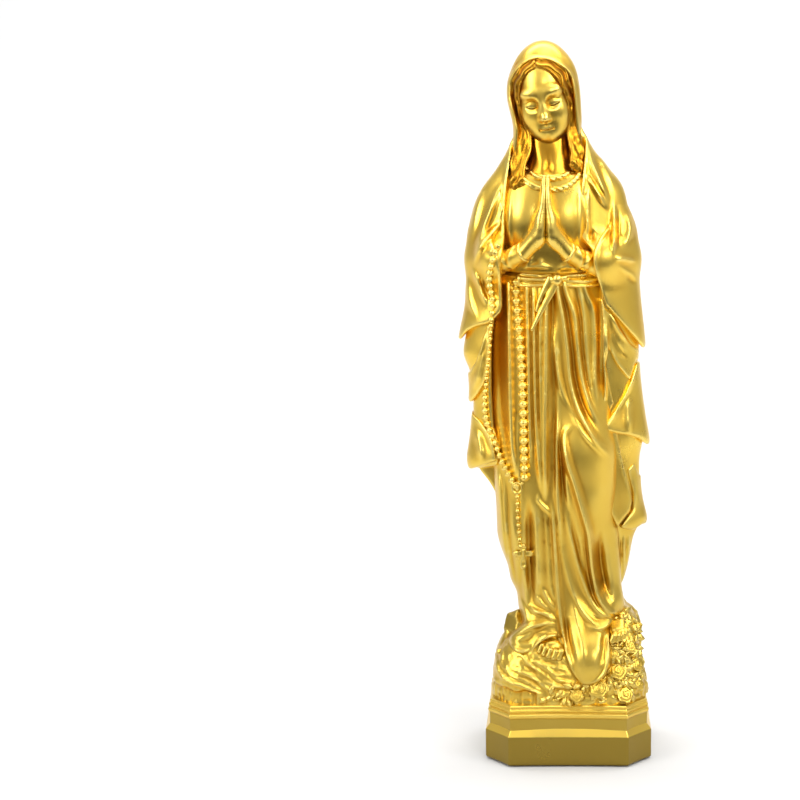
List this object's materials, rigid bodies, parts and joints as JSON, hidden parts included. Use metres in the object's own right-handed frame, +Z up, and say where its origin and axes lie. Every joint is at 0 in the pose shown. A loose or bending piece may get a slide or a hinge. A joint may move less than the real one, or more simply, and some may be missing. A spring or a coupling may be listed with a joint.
{
  "type": "devotional statue",
  "caption": "Standing robed figure praying with joined hands, in veil, sash, long mantle and draped rosary, on rose-strewn rock over an octagonal plinth that stands on a shelf.",
  "frame": {"origin": "centre of the plinth's resting face, on the underside of the pad", "axes": "+Z up along the statue's height, the figure faces -Y, and its own left arm is towards +X"},
  "size_m": [0.079, 0.062, 0.3],
  "materials": {
    "gold_paint": "satin metallic gold paint on cast resin, darker in the recesses",
    "pad_felt": "dark felt"
  },
  "bodies": {
    "root": {"base_pad": "pad_felt", "plinth_block": "gold_paint", "plinth_moulding": "gold_paint", "plinth_ledge": "gold_paint", "rock_mound": "gold_paint", "rock_outcrop": "gold_paint", "rose_blossoms": "gold_paint", "rose_leaves": "gold_paint", "foot_right": "gold_paint", "foot_left": "gold_paint", "robe_skirt": "gold_paint", "robe_hem": "gold_paint", "robe_bodice": "gold_paint", "sash_band": "gold_paint", "sash_tails": "gold_paint", "neckline_trim": "gold_paint", "neck": "gold_paint", "head": "gold_paint", "hair_right": "gold_paint", "hair_left": "gold_paint", "veil": "gold_paint", "mantle_back": "gold_paint", "mantle_right_arm": "gold_paint", "mantle_right_fold": "gold_paint", "mantle_right_tail": "gold_paint", "mantle_left_arm": "gold_paint", "mantle_left_fold": "gold_paint", "mantle_left_tail": "gold_paint", "sleeve_right": "gold_paint", "sleeve_left": "gold_paint", "hand_right": "gold_paint", "hand_left": "gold_paint", "rosary_robe_beads": "gold_paint", "rosary_sleeve_beads": "gold_paint", "rosary_medal": "gold_paint", "rosary_drop_beads": "gold_paint", "rosary_cross": "gold_paint"}
  },
  "joints": []
}
